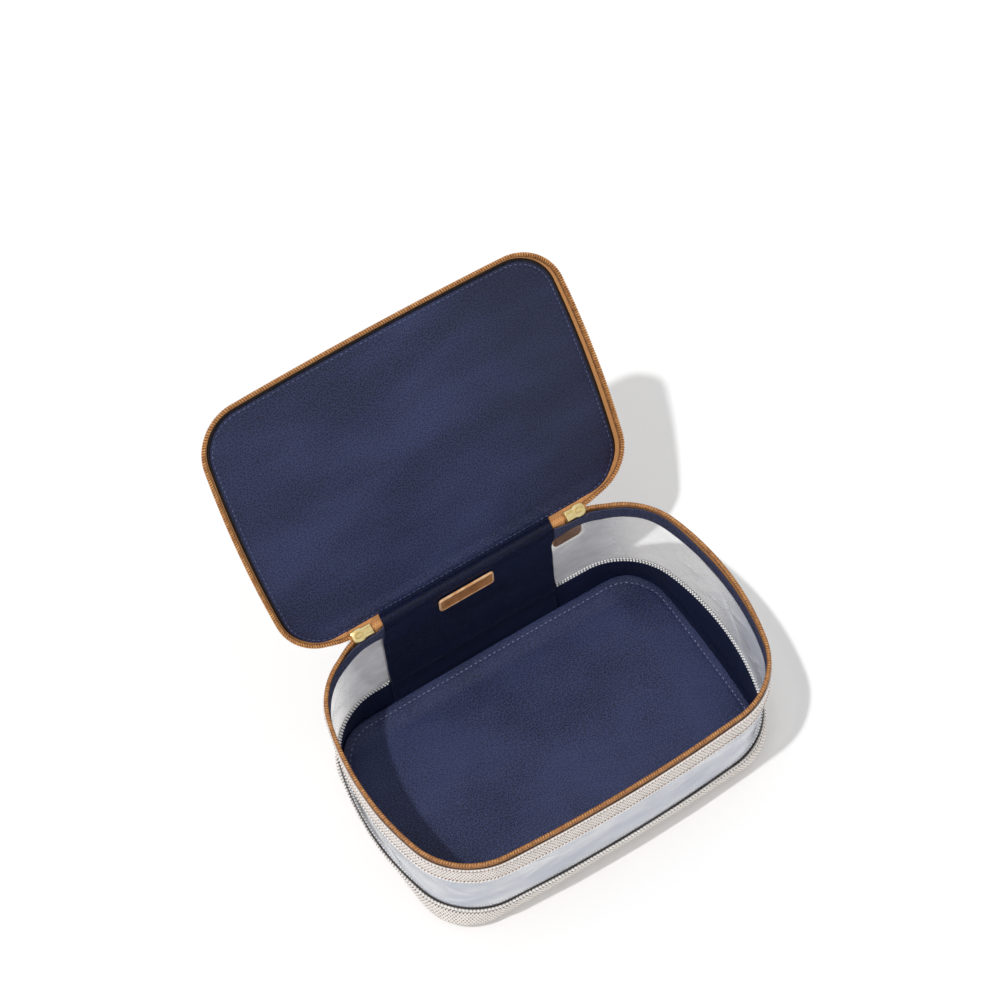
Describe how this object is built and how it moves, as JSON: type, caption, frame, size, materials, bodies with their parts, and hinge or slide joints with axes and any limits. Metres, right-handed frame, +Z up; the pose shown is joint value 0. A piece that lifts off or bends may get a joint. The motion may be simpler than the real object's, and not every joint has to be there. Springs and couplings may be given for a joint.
{
  "type": "vanity case",
  "caption": "Soft vanity case with a clear-walled base, canvas bands, a padded flat lid on a fabric hinge and a two-slider zip round three sides.",
  "frame": {"origin": "on the floor, under the middle of the base", "axes": "+Z up, +Y towards the lid's hinge at the back, +X along the case's length, to the right as seen from the front"},
  "size_m": [0.271, 0.2889, 0.2484],
  "materials": {
    "canvas": "off-white cotton canvas with a small woven dot",
    "lining": "navy satin nylon",
    "film": "clear soft film",
    "zip_tape": "caramel woven tape",
    "zip_coil": "brown nylon coil",
    "board": "plain stiffener",
    "brass": "light polished brass",
    "leather": "tan leather, smooth"
  },
  "bodies": {
    "base": {"lower_band": "canvas", "bottom_panel": "canvas", "floor_board": "board", "floor_pad": "lining", "lower_band_lining": "lining", "clear_window": "film", "upper_band": "canvas", "upper_band_lining": "lining", "base_zip_tape": "zip_tape", "base_zip_coil": "zip_coil", "back_panel": "canvas", "back_panel_lining": "lining", "leather_patch": "leather"},
    "lid": {"lid_cover": "canvas", "lid_board": "board", "lid_lining": "lining", "lid_zip_tape": "zip_tape", "left_tape_end": "zip_tape", "right_tape_end": "zip_tape", "lid_zip_coil": "zip_coil", "lid_hinge_panel": "canvas", "lid_hinge_lining": "lining"},
    "left_zip_end": {"left_closed_chain": "zip_coil"},
    "left_slider": {"left_slider": "brass"},
    "left_link": {"left_link": "brass"},
    "left_pull": {"left_pull_tab": "leather"},
    "right_zip_end": {"right_closed_chain": "zip_coil"},
    "right_slider": {"right_slider": "brass"},
    "right_link": {"right_link": "brass"},
    "right_pull": {"right_pull_tab": "leather"}
  },
  "joints": [
    {"name": "lid_hinge", "type": "hinge", "parent": "base", "child": "lid", "pos_m": [0, 0.0891, 0.102], "axis": [1, 0, 0], "range_deg": [0, 125.3]},
    {"name": "left_zip_tilt", "type": "hinge", "parent": "base", "child": "left_zip_end", "pos_m": [0, 0.0891, 0.102], "axis": [1, 0, 0], "range_deg": [0, 62.7]},
    {"name": "left_slide", "type": "slide", "parent": "left_zip_end", "child": "left_slider", "axis": [-1, 0, 0], "range_m": [-0.0042, 0.004]},
    {"name": "left_link_hang", "type": "hinge", "parent": "left_slider", "child": "left_link", "pos_m": [-0.0751, 0.09144, 0.09747], "axis": [1, 0, 0], "range_deg": [-109.75, 0]},
    {"name": "left_pull_swing", "type": "hinge", "parent": "left_link", "child": "left_pull", "pos_m": [-0.0751, 0.096, 0.09323], "axis": [0, 0.682, 0.7314], "range_deg": [-25, 25]},
    {"name": "right_zip_tilt", "type": "hinge", "parent": "base", "child": "right_zip_end", "pos_m": [0, 0.0891, 0.102], "axis": [1, 0, 0], "range_deg": [0, 62.7]},
    {"name": "right_slide", "type": "slide", "parent": "right_zip_end", "child": "right_slider", "axis": [1, 0, 0], "range_m": [-0.0042, 0.004]},
    {"name": "right_link_hang", "type": "hinge", "parent": "right_slider", "child": "right_link", "pos_m": [0.0721, 0.09144, 0.09747], "axis": [1, 0, 0], "range_deg": [-62.75, 0]},
    {"name": "right_pull_swing", "type": "hinge", "parent": "right_link", "child": "right_pull", "pos_m": [0.0721, 0.09144, 0.09125], "axis": [0, 1, 0], "range_deg": [-25, 25]}
  ],
  "couplings": [
    {"joint": "left_zip_tilt", "follows": "lid_hinge", "ratio": 0.5},
    {"joint": "left_link_hang", "follows": "lid_hinge", "ratio": -0.8751},
    {"joint": "right_zip_tilt", "follows": "lid_hinge", "ratio": 0.5},
    {"joint": "right_link_hang", "follows": "lid_hinge", "ratio": -0.5}
  ]
}
